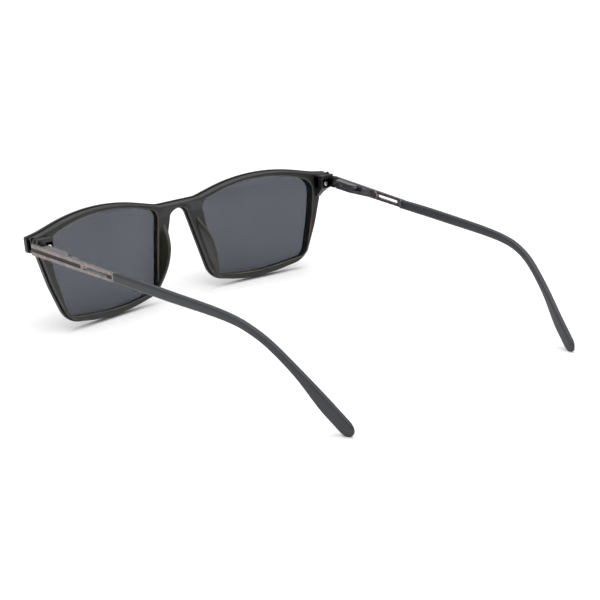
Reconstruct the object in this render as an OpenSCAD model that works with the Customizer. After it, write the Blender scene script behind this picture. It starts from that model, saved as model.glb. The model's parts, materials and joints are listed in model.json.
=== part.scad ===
// Spectacles with a close-fitting magnetic sun clip and spring-hinged temples.
// Millimetres. +Z is up, the wearer looks towards -Y, and +X is the wearer's left.
// The lower rims and the temple tips stand on z = 0.

/* [Front] */
// Half width of the front at its hinge corners
front_half_w = 69.9; // [66:0.1:75]
// Height of the lens-shape datum above the ground
datum_z = 20.8; // [20:0.05:23]
// Middle of the front's face from the plane that depths are measured from
front_y = -1.1; // [-1.5:0.05:0]
// Forward lean of the front
front_tilt = 6.85; // [0:0.05:12]
// Radius of the face wrap at the front of the clip
wrap_r = 360; // [300:5:500]
// Radius of the wrap where clip and frame meet
seat_r = 326; // [280:2:500]
// Depth of the frame's rims
rim_depth = 2.4; // [2:0.1:4]
// How far the frame's outline lies inside the clip's
reveal = 0.5; // [0.2:0.05:1]
// Depth of the bridge behind the rims' front
bridge_depth = 4.6; // [3:0.1:6]

/* [Nose pads] */
// Thickness of a moulded nose pad
pad_t = 2; // [1.5:0.1:3]
// Splay of the pads about the vertical
pad_splay = 28; // [20:1:35]
// Distance of the pad's crest behind the front
pad_reach = 8.4; // [6:0.1:9]
// Radius of the pad's crest, seen from the side
pad_crest_r = 21; // [18:0.5:26]

/* [Lenses] */
// Thickness of a prescription lens at its edge
lens_t = 1.5; // [1.2:0.05:1.7]
// How far a lens reaches into the groove of its rim
lens_bite = 0.7; // [0.4:0.05:1]
// Clearance all round a lens in its groove
lens_gap = 0.04; // [0.02:0.01:0.1]

/* [Clip] */
// Thickness of the clip at the bridge
clip_t = 1.3; // [1.1:0.05:1.6]
// Gap between the clip and the frame
clip_gap = 0.15; // [0.1:0.05:0.3]
// Thickness of a tinted lens
tint_t = 0.7; // [0.5:0.05:0.8]
// Radius of a holding magnet
magnet_r = 1.1; // [0.8:0.05:1.3]
// Length of a magnet in the clip
clip_magnet_l = 0.8; // [0.5:0.05:0.9]
// Length of a magnet in the frame
frame_magnet_l = 1.4; // [1:0.1:2]
// Clearance of a magnet in its pocket
magnet_gap = 0.03; // [0.02:0.01:0.06]

/* [Hinge] */
// Distance of the hinge axis from the middle
hinge_x = 68.2; // [67.8:0.1:68.6]
// Distance of the hinge axis behind the datum
hinge_y = 13.5; // [13.3:0.1:14]
// Height of the middle of the hinge
hinge_z = 33.5; // [33.2:0.1:33.7]
// Height of the whole knuckle
knuckle_h = 3.5; // [3.2:0.1:3.7]
// Radius of the knuckle
knuckle_r = 1.2; // [1.1:0.05:1.25]
// Radius of the hinge screw's shank
pivot_r = 0.6; // [0.5:0.05:0.7]
// Radial running clearance of the hinge screw
pivot_gap = 0.04; // [0.02:0.01:0.08]
// Height of the middle eye
eye_h = 1.4; // [1.2:0.05:1.6]
// Clearance between the eye and each ear
eye_gap = 0.05; // [0.03:0.01:0.1]
// Rear face of the end piece behind the datum
end_y = 11.8; // [11.5:0.1:12]
// Thickness of the hinge leaf
leaf_t = 1; // [0.8:0.1:1.2]

/* [Spring housing] */
// Depth of the housing inwards from the temple's outer face
housing_depth = 3.75; // [3.7:0.05:3.8]
// Length of the housing
housing_l = 19.4; // [18:0.2:19.6]
// Width of the sliding block
slider_w = 1.5; // [1.3:0.05:1.5]
// Height of the sliding block
slider_h = 1.7; // [1.5:0.05:1.8]
// Clearance of the sliding block in the housing
slider_gap = 0.05; // [0.03:0.01:0.08]
// Radius of the slider's rod
rod_r = 0.35; // [0.25:0.05:0.4]
// Radius of the spring's wire
wire_r = 0.11; // [0.08:0.01:0.14]
// Number of turns of the spring
spring_turns = 9; // [6:1:12]

/* [Temple bar] */
// Inward angle of the temple, seen from above
temple_yaw = 4.7; // [3:0.1:6]
// Length of the metal bar
bar_l = 41.2; // [38:0.2:48]
// Thickness of the bar
bar_t = 1.1; // [0.9:0.05:1.3]
// Height of the bar at its front
bar_front_h = 3.8; // [3.4:0.1:4.2]
// Height of the bar at its rear
bar_rear_h = 3.1; // [2.8:0.1:3.6]
// Height of the groove and slot between the two rails
groove_h = 1.3; // [1:0.05:1.5]
// Depth of the groove for the inlay
groove_d = 0.45; // [0.3:0.05:0.6]
// Length of the open slot
slot_l = 11.5; // [8:0.5:13]

/* [Temple arm] */
// Thickness of the arm at its front
arm_t = 2.3; // [2:0.1:3]
// Length of the ferrule between bar and arm
ferrule_l = 0.6; // [0.4:0.1:1]
// Width of the metal core
core_w = 1.7; // [1.2:0.1:2]
// Thickness of the metal core
core_t = 0.8; // [0.6:0.1:1]
// Full width of the paddle at the tip
paddle_w = 4.6; // [4:0.1:5.4]

/* [Hidden] */

left = 1;
right = -1;
eps = 0.01;
curve_error = 0.02;       // how far a chord may lie inside its arc
datum_y = -71.25;         // the plane that depths are measured from
sweep = 90;               // taller and wider than the front

// Where surfaces lie behind the front's datum at the middle
clip_rear = clip_t;
frame_front = clip_t + clip_gap;
frame_rear = frame_front + rim_depth;
tint_front = 0.3;
tint_r = wrap_r - 10;      // radius of a tinted lens
lens_front = frame_front + (rim_depth - lens_t) / 2;

// Corner points of the clip's outline, one half: [across, up, corner radius]
clip_half = [
    [0, 15.1, 0], [9, 15.1, 12], [37.3, 22.1, 84], [64.5, 15.6, 40],
    [front_half_w, 14.9, 0.8], [front_half_w, 9.4, 1.2], [66.2, 8.4, 1.4],
    [62.3, -4.5, 60], [56.3, -18.6, 10], [33.5, -22.2, 63], [12.5, -17.6, 9],
    [3.4, 11.9, 3.4], [0, 11.9, 0]
];
// Corner points of the eye opening of the frame
eye_points = [
    [10.2, 12.9, 3.5], [36.1, 20.0, 69], [62.3, 12.7, 5.5], [60.6, 0, 40],
    [56.4, -16.4, 4.5], [32.9, -18.8, 80], [14.4, -16.2, 4]
];

// Unit vector along v
function unit(v) = v / norm(v);
// Angle brought between -180 and 180
function turned(a) = a > 180 ? a - 360 : a < -180 ? a + 360 : a;
// Steps that keep a chord within curve_error of an arc of radius r that turns by angle a
function arc_steps(r, a) = max(2, ceil(abs(a) / (2 * acos(1 - curve_error / max(r, 4 * curve_error)))));
// The arc of radius r that rounds the corner b between a and c
function rounded_corner(a, b, c, r) =
    let (
        d1 = unit(a - b),
        d2 = unit(c - b),
        half = acos(d1 * d2) / 2,
        middle = b + unit(d1 + d2) * r / sin(half),
        p1 = b + d1 * r / tan(half) - middle,
        p2 = b + d2 * r / tan(half) - middle,
        a1 = atan2(p1[1], p1[0]),
        turn = turned(atan2(p2[1], p2[0]) - a1),
        n = arc_steps(r, turn)
    )
    [for (i = [0:n]) middle + r * [cos(a1 + turn * i / n), sin(a1 + turn * i / n)]];
// Corner i of a list, without its radius, counting round a closed loop
function corner(list, i) = let (p = list[(i + len(list)) % len(list)]) [p[0], p[1]];
// A loop of corner points with each corner rounded by its own radius
function rounded_loop(list) = [
    for (i = [0:len(list) - 1])
        for (p = list[i][2] > 0
                ? rounded_corner(corner(list, i - 1), corner(list, i), corner(list, i + 1), list[i][2])
                : [corner(list, i)]) p
];
// The other half of a half outline, without the two points on the middle line
function other_half(list) = [for (i = [len(list) - 2:-1:1]) [-list[i][0], list[i][1], list[i][2]]];
// The normal to the left of a step from a to b
function left_of(a, b) = let (t = unit(b - a)) [-t[1], t[0]];
// A clockwise list of corner points moved outwards by d, with each radius kept parallel
function grown(list, d) = [
    for (i = [0:len(list) - 1])
        let (
            n1 = left_of(corner(list, i - 1), corner(list, i)),
            n2 = left_of(corner(list, i), corner(list, i + 1)),
            p = corner(list, i) + d * (n1 + n2) / (1 + n1 * n2),
            bend = n1[0] * n2[1] - n1[1] * n2[0],
            r = list[i][2]
        )
        [p[0], p[1], r == 0 ? 0 : bend < 0 ? r + d : r - d]
];

clip_corners = concat(clip_half, other_half(clip_half));
clip_eye_reveal = 0.25;   // how far the clip's opening is wider than the frame's
clip_eye = grown(eye_points, clip_eye_reveal);
clip_outline = rounded_loop(clip_corners);
frame_outline = rounded_loop(grown(clip_corners, -reveal));
eye_outline = rounded_loop(eye_points);

// Places children in the front's leaning frame: x across, y behind the datum, z up the front
module in_front() {
    translate([0, datum_y + front_y, datum_z]) rotate([front_tilt, 0, 0]) children();
}
// Places children on one side of the face
module on_side(side) {
    if (side == left) children();
    else mirror([1, 0, 0]) children();
}
// An outline standing in the front's frame, from depth a to depth b
module standing(loop, a, b) {
    translate([0, b, 0]) rotate([90, 0, 0]) linear_extrude(height = b - a) polygon(loop);
}
// The space in front of a wrapped surface that lies w behind the datum at the middle
module behind_surface(w, r) {
    translate([0, w + r, -sweep / 2]) cylinder(r = r, h = sweep, $fn = 180);
}
// The wrapped layer between two surfaces
module wrapped_layer(w1, r1, w2, r2) {
    difference() {
        behind_surface(w1, r1);
        behind_surface(w2, r2);
    }
}
// An outline cut out of a wrapped layer
module wrapped_plate(loop, w1, r1, w2, r2) {
    intersection() {
        standing(loop, -1, 20);
        wrapped_layer(w1, r1, w2, r2);
    }
}
// How far a wrapped surface has gone back at x
function wrap_at(x, r) = r - sqrt(r * r - x * x);
// Places children on the wrapped seat surface, +z pointing back from the face of the clip
module on_seat(x, z, w) {
    translate([x, w + wrap_at(x, seat_r), z])
        rotate([0, 0, asin(x / seat_r)]) rotate([-90, 0, 0]) children();
}
magnet_x = 67.3;
magnet_spots = [[-magnet_x, 11.8], [0, 13.4], [magnet_x, 11.8]];
magnet_sunk = 0.02;       // how far a magnet lies below the clip's rear face

// ---- front -------------------------------------------------------------

end_top = 14.2;           // top of the end piece, up the front
end_bottom = 9.2;
end_inner = 62.8;
end_outer = 69;
end_start = 3;            // where it starts, behind the datum, inside the rim
shoulder_inner = 62;
end_shoulder_y = 10;      // the bar's front stops just behind this shoulder
rim_outer = 65.1;         // where the rim's outer edge meets the end piece
root_drop = 3.4;          // how far the end piece's root reaches below it
fillet_r = 3.4;
root_foot = 10.4;         // how far back the root's lower end reaches, behind the datum
root_heel = 14.2;         // how far back its upper end reaches

module end_piece() {
    difference() {
        in_front() translate([0, end_start, 0]) {
            translate([end_inner, 0, end_bottom - root_drop])
                cube([rim_outer - end_inner, sweep, end_top - end_bottom + root_drop]);
            translate([rim_outer - eps, 0, end_bottom])
                cube([end_outer - rim_outer + eps, sweep, end_top - end_bottom]);
            end_fillet();
        }
        translate([50, datum_y + end_y, -20]) cube([40, 2 * sweep, 2 * sweep]);
        in_front() root_slope();
    }
}
// The space behind the sloping rear of the root
module root_slope() {
    translate([shoulder_inner, 0, 0]) rotate([90, 0, 90]) linear_extrude(height = 12)
        polygon([[root_foot, end_bottom - root_drop], [root_heel, end_bottom], [sweep, end_bottom],
            [sweep, -sweep], [root_foot, -sweep]]);
}
module shoulder() {
    intersection() {
        in_front() standing([[shoulder_inner, end_bottom], [shoulder_inner, end_top],
            [front_half_w - reveal, end_top], [front_half_w - reveal, end_bottom]], 5, 20);
        translate([60, datum_y - sweep, 0]) cube([20, sweep + end_shoulder_y, sweep]);
    }
}
module end_fillet() {
    translate([rim_outer, 7, end_bottom]) difference() {
        translate([-eps, 0, -fillet_r]) cube([fillet_r, sweep, fillet_r + eps]);
        translate([fillet_r, -1, -fillet_r]) rotate([-90, 0, 0])
            cylinder(r = fillet_r, h = sweep + 2, $fn = 48);
    }
}
pad_turn = [8, frame_front + 0.4];   // where a pad starts to splay: across and behind the datum
pad_low = -16.4;          // lower and upper ends of a pad, up the front
pad_high = 7;
pad_crest_up = -3.8;      // height where a pad reaches furthest back
module nose_pad() {
    intersection() {
        translate([pad_turn[0], pad_turn[1], 0]) rotate([0, 0, -pad_splay]) translate([-pad_turn[0], 0, 0])
            difference() {
                standing(frame_outline, 0, 12);
                translate([pad_t, 0, 0]) standing(frame_outline, -1, 13);
            }
        translate([3, 0, pad_low]) cube([14, 12, pad_high - pad_low]);
        translate([0, pad_reach - pad_crest_r, pad_crest_up]) rotate([0, 90, 0])
            cylinder(r = pad_crest_r, h = 20, $fn = 120);
    }
}
bridge_half_w = 9.4;
bridge_low = 9.5;         // lower end of the bridge's deeper part, up the front
bridge_r = 22;            // how round the bridge's rear is, seen from above
module bridge_block() {
    intersection() {
        standing(frame_outline, 0, frame_front + bridge_depth);
        translate([-bridge_half_w, frame_front, bridge_low]) cube([2 * bridge_half_w, bridge_depth, 12]);
        translate([0, frame_front + bridge_depth - bridge_r, 0]) cylinder(r = bridge_r, h = 20, $fn = 120);
    }
}
module lens_hollow() {
    wrapped_plate(rounded_loop(grown(eye_points, lens_bite + lens_gap)), lens_front - lens_gap, seat_r,
        lens_front + lens_t + lens_gap, seat_r);
    standing(eye_outline, -1, 20);
}
module front_shape() {
    difference() {
        intersection() {
            union() {
                in_front() wrapped_plate(frame_outline, frame_front, seat_r, frame_rear, seat_r);
                in_front() bridge_block();
                for (side = [left, right]) on_side(side) {
                    in_front() nose_pad();
                    end_piece();
                    shoulder();
                }
            }
            in_front() behind_surface(frame_front, seat_r);
        }
        for (side = [left, right]) on_side(side) {
            in_front() lens_hollow();
            leaf_pocket();
        }
        in_front() magnet_row(frame_front - eps, frame_magnet_l + magnet_gap, magnet_r + magnet_gap);
    }
}
module magnet_row(w, l, r) {
    for (spot = magnet_spots)
        on_seat(spot[0], spot[1], w) cylinder(r = r, h = l, $fn = 32);
}
module front_frame() {
    color("#3b3d3c") front_shape();
}
module lens(side) {
    color("#dfe6ea") on_side(side) in_front()
        wrapped_plate(rounded_loop(grown(eye_points, lens_bite)), lens_front, seat_r,
            lens_front + lens_t, seat_r);
}
module frame_magnets() {
    color("#b9bcc0") in_front() magnet_row(frame_front + magnet_gap, frame_magnet_l - magnet_gap, magnet_r);
}

// ---- clip --------------------------------------------------------------

module clip_frame() {
    color("#35373a") difference() {
        in_front() wrapped_plate(clip_outline, 0, wrap_r, clip_rear, seat_r);
        for (side = [left, right]) on_side(side) in_front() {
            standing(rounded_loop(clip_eye), -2, 20);
            wrapped_plate(rounded_loop(grown(clip_eye, lens_bite + lens_gap)),
                tint_front - lens_gap, tint_r, tint_front + tint_t + lens_gap, tint_r);
        }
        in_front()
            magnet_row(clip_rear - clip_magnet_l - magnet_gap, clip_magnet_l + 1, magnet_r + magnet_gap);
    }
}
module clip_lens(side) {
    color("#4a4e57") on_side(side) in_front()
        wrapped_plate(rounded_loop(grown(clip_eye, lens_bite)), tint_front, tint_r,
            tint_front + tint_t, tint_r);
}
module clip_magnets() {
    color("#b9bcc0") in_front() magnet_row(clip_rear - clip_magnet_l, clip_magnet_l - magnet_sunk, magnet_r);
}

// ---- hinge -------------------------------------------------------------

ear_h = (knuckle_h - eye_h) / 2 - eye_gap;
leaf_x1 = 63.2;
leaf_tail = 0.6;          // how far the leaf reaches past the hinge axis
ear_root = 1.1;           // how far each ear's root reaches inwards from the axis
leaf_z = [hinge_z - knuckle_h / 2, hinge_z + knuckle_h / 2];
leaf_screw_x = 64.7;
leaf_screw_r = 0.45;
leaf_screw_l = 2;         // how deep the leaf's screw goes in behind the leaf
leaf_hole_l = 2.4;
leaf_head_r = 0.85;
leaf_head_h = 0.3;
leaf_gap = 0.03;
knuckle_room = 0.35;      // room round the knuckle in the end piece
eye_room = 0.08;          // room round the middle eye between the ears
head_gap = 0.02;          // under the head of a screw
pin_head_r = 1.05;
pin_head_h = 0.4;
slot_w = 0.25;
leaf_slot_d = 0.15;       // depth of a screw's slot
pin_slot_d = 0.2;

// Places children on the hinge axis, at the middle of the knuckle
module at_hinge() {
    translate([hinge_x, datum_y + hinge_y, hinge_z]) children();
}
module leaf_plate(gap) {
    translate([leaf_x1 - gap, datum_y + end_y - leaf_t - gap, leaf_z[0] - gap])
        cube([hinge_x + leaf_tail - leaf_x1 + 2 * gap, leaf_t + gap, knuckle_h + 2 * gap]);
}
module leaf_pocket() {
    leaf_plate(leaf_gap);
    at_hinge()
        cylinder(r = knuckle_r + knuckle_room, h = knuckle_h + 2 * knuckle_room, center = true, $fn = 48);
    translate([leaf_screw_x, datum_y + end_y - leaf_t - leaf_hole_l, hinge_z]) rotate([-90, 0, 0])
        cylinder(r = leaf_screw_r + leaf_gap, h = 3, $fn = 24);
}
module hinge_leaf(side) {
    color("#2c2d2f") on_side(side) difference() {
        union() {
            leaf_plate(0);
            for (z = [-1, 1]) at_hinge() translate([0, 0, z * (knuckle_h - ear_h) / 2]) {
                cylinder(r = knuckle_r, h = ear_h, center = true, $fn = 48);
                translate([-ear_root, end_y - hinge_y - leaf_t, -ear_h / 2])
                    cube([ear_root + leaf_tail, hinge_y - end_y + leaf_t, ear_h]);
            }
        }
        at_hinge() cylinder(r = pivot_r, h = knuckle_h + 1, center = true, $fn = 48);
        at_hinge() cylinder(r = knuckle_r + eye_room, h = eye_h + 2 * eye_gap, center = true, $fn = 48);
        translate([leaf_screw_x, datum_y + end_y - leaf_t - 1, hinge_z]) rotate([-90, 0, 0])
            cylinder(r = leaf_screw_r + leaf_gap, h = 3, $fn = 24);
    }
}
module leaf_screw(side) {
    color("#d8d2c4") on_side(side) translate([leaf_screw_x, datum_y + end_y, hinge_z]) rotate([-90, 0, 0])
        difference() {
            union() {
                translate([0, 0, -leaf_t - leaf_screw_l])
                    cylinder(r = leaf_screw_r, h = leaf_t + leaf_screw_l + 5 * head_gap, $fn = 24);
                translate([0, 0, head_gap]) cylinder(r = leaf_head_r, h = leaf_head_h, $fn = 32);
            }
            translate([-1, -slot_w / 2, head_gap + leaf_head_h - leaf_slot_d]) cube([2, slot_w, 1]);
        }
}
module hinge_screw(side) {
    color("#c9cbcc") on_side(side) at_hinge() difference() {
        union() {
            translate([0, 0, -knuckle_h / 2])
                cylinder(r = pivot_r - pivot_gap, h = knuckle_h + 5 * head_gap, $fn = 48);
            translate([0, 0, knuckle_h / 2 + head_gap]) cylinder(r = pin_head_r, h = pin_head_h, $fn = 48);
        }
        translate([-2, -slot_w / 2, knuckle_h / 2 + head_gap + pin_head_h - pin_slot_d]) cube([4, slot_w, 1]);
    }
}

// ---- temple: hinge end ---------------------------------------------------

temple_x = 71;            // outer face of the bar at its front
temple_front_y = 10.6;
bar_top = 35.45;          // top of the bar at its front
bar_drop = 2.1;           // how far its top falls to the rear
pivot_in = [hinge_x - temple_x, hinge_y - temple_front_y];
// The hinge axis in the temple's own axes: across and along
pivot_across = pivot_in[0] * cos(temple_yaw) + pivot_in[1] * sin(temple_yaw);
pivot_along = -pivot_in[0] * sin(temple_yaw) + pivot_in[1] * cos(temple_yaw);
knuckle_gap = 0.18;       // between the knuckle and the housing
housing_front = pivot_along + knuckle_r + knuckle_gap;
block_l = 3.2;
stop_gap = 0.05;          // at the ends of the sliding block
block_front = housing_front - stop_gap;
bush_front = housing_front + block_l;
bush_l = 1.5;
spring_l = 7.4;
spring_r = 0.66;
rod_end = bush_front + bush_l + spring_l;
spring_gap = 0.02;        // at each end of the spring
rod_gap = 0.05;           // round the rod in its bush
collar_l = 0.5;           // collar at the rod's end, which the spring pushes on
rod_tail = 1.5;
travel = 1.5;
end_room = 1.4;           // left behind the rod at full travel
cavity_l = bush_l + block_l + spring_l + travel + end_room;
housing_low = 1.75;       // front end of the housing below and above the hinge's middle
housing_high = 1.6;
housing_taper = 9;        // length of its straight part
housing_inset = 0.3;      // how much lower it is than the bar at its rear
housing_chamfer = [0.4, 0.6];
housing_tail = 0.5;       // its thickness at the rear
bush_screw_r = 0.32;
bush_screw_gap = 0.03;
bush_head_r = 0.6;
bush_head_sunk = 0.12;    // how far the screw's head goes into the housing
bush_hole_depth = 0.25;   // how far the screw goes into the bush

// Places children on one temple: x outwards, y along it from its front, z up from the ground
module on_temple(side) {
    on_side(side) translate([temple_x, datum_y + temple_front_y, 0]) rotate([0, 0, temple_yaw]) children();
}
// A side view of the temple, cut through its thickness from x1 to x2
module side_plate(points, x1, x2) {
    translate([x1, 0, 0]) rotate([90, 0, 90]) linear_extrude(height = x2 - x1) polygon(points);
}
function bar_top_at(y) = bar_top - bar_drop * y / bar_l;
function bar_h_at(y) = bar_front_h + (bar_rear_h - bar_front_h) * y / bar_l;
function bar_mid_at(y) = bar_top_at(y) - bar_h_at(y) / 2;
function groove_points(y1, y2, h) = [
    [y1, bar_mid_at(y1) - h / 2], [y1, bar_mid_at(y1) + h / 2],
    [y2, bar_mid_at(y2) + h / 2], [y2, bar_mid_at(y2) - h / 2]
];
slot_y2 = bar_l - 2.6;
slot_y1 = slot_y2 - slot_l;
inlay_y1 = 0.2;
inlay_y2 = slot_y1 - 1.4;
inlay_gap = 0.03;
inlay_sunk = 0.12;        // how far the inlay lies below the rails
boss_t = 0.45;            // the round boss in front of the slot, on the inside
boss_y = slot_y1 - 1.5;
boss_inset = 0.1;

module housing_cavity() {
    translate([pivot_across, housing_front - 1, hinge_z]) {
        translate([-slider_w / 2 - slider_gap, 0, -slider_h / 2 - slider_gap])
            cube([slider_w + 2 * slider_gap, cavity_l + 1, slider_h + 2 * slider_gap]);
    }
}
module temple_bar(side) {
    color("#9c9391") on_temple(side) difference() {
        union() {
            side_plate([[0, bar_top - bar_front_h], [0, bar_top], [bar_l, bar_top_at(bar_l)],
                [bar_l, bar_top_at(bar_l) - bar_rear_h]], -bar_t, 0);
            translate([-bar_t - boss_t, boss_y, bar_mid_at(boss_y)]) rotate([0, 90, 0])
                cylinder(r = bar_h_at(slot_y1) / 2 - boss_inset, h = boss_t + 5 * eps, $fn = 48);
        }
        side_plate(groove_points(-1, inlay_y2, groove_h), -groove_d, 1);
        side_plate(groove_points(slot_y2, bar_l + 1, groove_h), -groove_d, 1);
        side_plate(groove_points(slot_y1, slot_y2, groove_h), -3, 1);
        at_bush_screw() cylinder(r = bush_screw_r + bush_screw_gap, h = 20, center = true, $fn = 24);
    }
}
module bar_inlay(side) {
    inlay_h = groove_h - 2 * inlay_gap;
    color("#3a3a38") on_temple(side) {
        side_plate(groove_points(inlay_y1, inlay_y2 - inlay_gap, inlay_h), inlay_gap - groove_d, -inlay_sunk);
        side_plate(groove_points(slot_y2 + inlay_gap, bar_l - inlay_gap, inlay_h), inlay_gap - groove_d,
            -inlay_sunk);
    }
}
// Places children on the cross screw that holds the bush, +z pointing outwards
module at_bush_screw() {
    translate([-housing_depth, bush_front + bush_l / 2, hinge_z]) rotate([0, 90, 0]) children();
}
module spring_housing(side) {
    y1 = housing_front;
    y2 = housing_front + housing_l;
    taper_y = housing_front + housing_taper;
    color("#4a4748") on_temple(side) difference() {
        intersection() {
            side_plate([[y1, hinge_z - housing_low], [y1, hinge_z + housing_high],
                [y2, bar_top_at(y2) - housing_inset], [y2, bar_top_at(y2) - bar_h_at(y2) + housing_inset]],
                -housing_depth, -bar_t - eps);
            linear_extrude(height = 60) polygon([[0, y1], [-housing_depth + housing_chamfer[0], y1],
                [-housing_depth, y1 + housing_chamfer[1]], [-housing_depth, taper_y],
                [-bar_t - housing_tail, y2], [0, y2]]);
        }
        housing_cavity();
        at_bush_screw() cylinder(r = bush_screw_r + bush_screw_gap, h = 3, center = true, $fn = 24);
        at_bush_screw() translate([0, 0, -1])
            cylinder(r = bush_head_r + stop_gap, h = 1 + bush_head_sunk + bush_screw_gap, $fn = 32);
    }
}
module hinge_slider(side) {
    color("#b5b1ab") on_side(side) difference() {
        union() {
            at_hinge() cylinder(r = knuckle_r, h = eye_h, center = true, $fn = 48);
            translate([temple_x, datum_y + temple_front_y, 0]) rotate([0, 0, temple_yaw])
                translate([pivot_across, 0, hinge_z]) {
                    translate([-slider_w / 2, pivot_along, -eye_h / 2])
                        cube([slider_w, block_front - pivot_along + 1, eye_h]);
                    translate([-slider_w / 2, block_front, -slider_h / 2])
                        cube([slider_w, bush_front - block_front - stop_gap, slider_h]);
                    translate([0, bush_front - 1, 0]) rotate([-90, 0, 0])
                        cylinder(r = rod_r, h = rod_end - bush_front + rod_tail, $fn = 32);
                    translate([0, rod_end + spring_gap, 0]) rotate([-90, 0, 0])
                        cylinder(r = spring_r, h = collar_l, $fn = 32);
                }
        }
        at_hinge() cylinder(r = pivot_r, h = eye_h + 1, center = true, $fn = 48);
    }
}
module spring_bush(side) {
    color("#8f8a84") on_temple(side) difference() {
        translate([pivot_across, bush_front, hinge_z])
            translate([-slider_w / 2, 0, -slider_h / 2]) cube([slider_w, bush_l, slider_h]);
        translate([pivot_across, bush_front - 1, hinge_z]) rotate([-90, 0, 0])
            cylinder(r = rod_r + rod_gap, h = bush_l + 2, $fn = 32);
        at_bush_screw() cylinder(r = bush_screw_r, center = true, $fn = 24,
            h = 2 * (housing_depth + pivot_across - slider_w / 2 + bush_hole_depth));
    }
}
// Ring k of a coil of wire: a small hexagon round the coil's line
function coil_ring(k, steps, r, pitch, wire) =
    let (a = 360 * k / steps)
    [for (j = [0:5]) let (b = 60 * j, d = r + wire * cos(b))
        [d * cos(a), d * sin(a), pitch * k / steps + wire * sin(b)]];
// Faces that join rings of n points into a closed tube
function tube_faces(rings, n) = concat(
    [[for (j = [n - 1:-1:0]) j]],
    [for (k = [0:rings - 2]) for (j = [0:n - 1])
        [k * n + j, k * n + (j + 1) % n, (k + 1) * n + (j + 1) % n, (k + 1) * n + j]],
    [[for (j = [0:n - 1]) (rings - 1) * n + j]]
);
module coil(turns, steps, r, length, wire) {
    pitch = (length - 2 * wire) / turns;
    rings = turns * steps + 1;
    points = [for (k = [0:rings - 1]) each coil_ring(k, steps, r - wire, pitch, wire)];
    translate([0, 0, wire]) polyhedron(points, tube_faces(rings, 6), convexity = 10);
}
module hinge_spring(side) {
    color("#c4c6c8") on_temple(side) translate([pivot_across, bush_front + bush_l + spring_gap, hinge_z])
        rotate([-90, 0, 0]) coil(spring_turns, 14, spring_r, spring_l - 3 * spring_gap, wire_r);
}
module housing_screw(side) {
    color("#b5b1ab") on_temple(side) at_bush_screw() {
        cylinder(r = bush_screw_r - spring_gap, h = housing_depth + pivot_across - slider_w / 2 + bush_hole_depth
            - bush_screw_gap, $fn = 24);
        difference() {
            translate([0, 0, -bush_head_sunk]) cylinder(r = bush_head_r, h = 2 * bush_head_sunk + eps, $fn = 32);
            translate([-1, -slot_w / 2, -1]) cube([2, slot_w, 1]);
        }
    }
}

// ---- temple: arm -----------------------------------------------------------

// Where the arm leaves the ferrule: [behind the datum, out from the middle, up]
arm_start = [
    temple_front_y + (bar_l + ferrule_l) * cos(temple_yaw) - arm_t / 2 * sin(temple_yaw),
    temple_x - (bar_l + ferrule_l) * sin(temple_yaw) - arm_t / 2 * cos(temple_yaw),
    bar_mid_at(bar_l)
];
// Middle line of the arm, in the same three measures
arm_line = [
    arm_start, [64, 65.8, 31.45], [80, 64.7, 30.8], [95, 63.4, 30.2], [105, 62.4, 29.3],
    [112, 61.5, 27.6], [119, 59.9, 24.1], [128, 57.1, 16.8], [137, 53.9, 7.7], [144.9, 51.4, 0.68]
];
// Height of the arm's section along that line, from its front to its tip
arm_heights = [3.2, 3.4, 3.3, 3, 2.7, 2.5, 2.45, 2.8, paddle_w, paddle_w];
arm_steps = 6;
arm_sides = 20;
arm_tip_t = 1.9;
core_gap = 0.02;          // clearance round the core
core_end_gap = 0.05;      // share of a span that the hole runs on past the core

// Catmull-Rom curve through four values, at t from the second towards the third
function through(a, b, c, d, t) =
    0.5 * ((2 * b) + (c - a) * t + (2 * a - 5 * b + 4 * c - d) * t * t + (3 * b - a - 3 * c + d) * t * t * t);
function at_end(list, i) = list[max(0, min(len(list) - 1, i))];
function along(list, s) =
    let (i = min(floor(s), len(list) - 2), t = s - i)
    through(at_end(list, i - 1), list[i], list[i + 1], at_end(list, i + 2), t);
arm_last = len(arm_line) - 1;
function arm_point(s) = let (p = along(arm_line, s)) [p[1], datum_y + p[0], p[2]];
function arm_direction(s) = unit(arm_point(min(s + 0.02, arm_last)) - arm_point(max(s - 0.02, 0)));
// A ring of the arm at s, with half height h and half thickness t, rounded like a soft rectangle
function arm_ring(s, h, t, squareness) =
    let (
        d = s < eps ? [-sin(temple_yaw), cos(temple_yaw), 0] : arm_direction(s),
        out = unit(cross(d, [0, 0, 1])),
        up = cross(out, d),
        p = arm_point(s)
    )
    [for (j = [0:arm_sides - 1])
        let (
            a = 360 * (j + 0.5) / arm_sides,
            c = cos(a),
            q = sin(a)
        )
        p + out * t * sign(c) * pow(abs(c), squareness) + up * h * sign(q) * pow(abs(q), squareness)];
tip_s = 0.45;             // share of the last span that is rounded off
function tip_round(s) =
    s < arm_last - tip_s ? 1 : sqrt(max(0.06, 1 - pow((s - arm_last + tip_s) / tip_s, 2)));
softness = 0.5;           // how square the arm's section is: 1 is a lozenge and 0 a rectangle
function outer_ring(s) = arm_ring(s, along(arm_heights, s) / 2 * tip_round(s),
    (arm_t + (arm_tip_t - arm_t) * s / arm_last) / 2 * max(0.6, tip_round(s)), softness);
function core_ring(s, extra) = arm_ring(s, core_w / 2 + extra, core_t / 2 + extra, softness);
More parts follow.
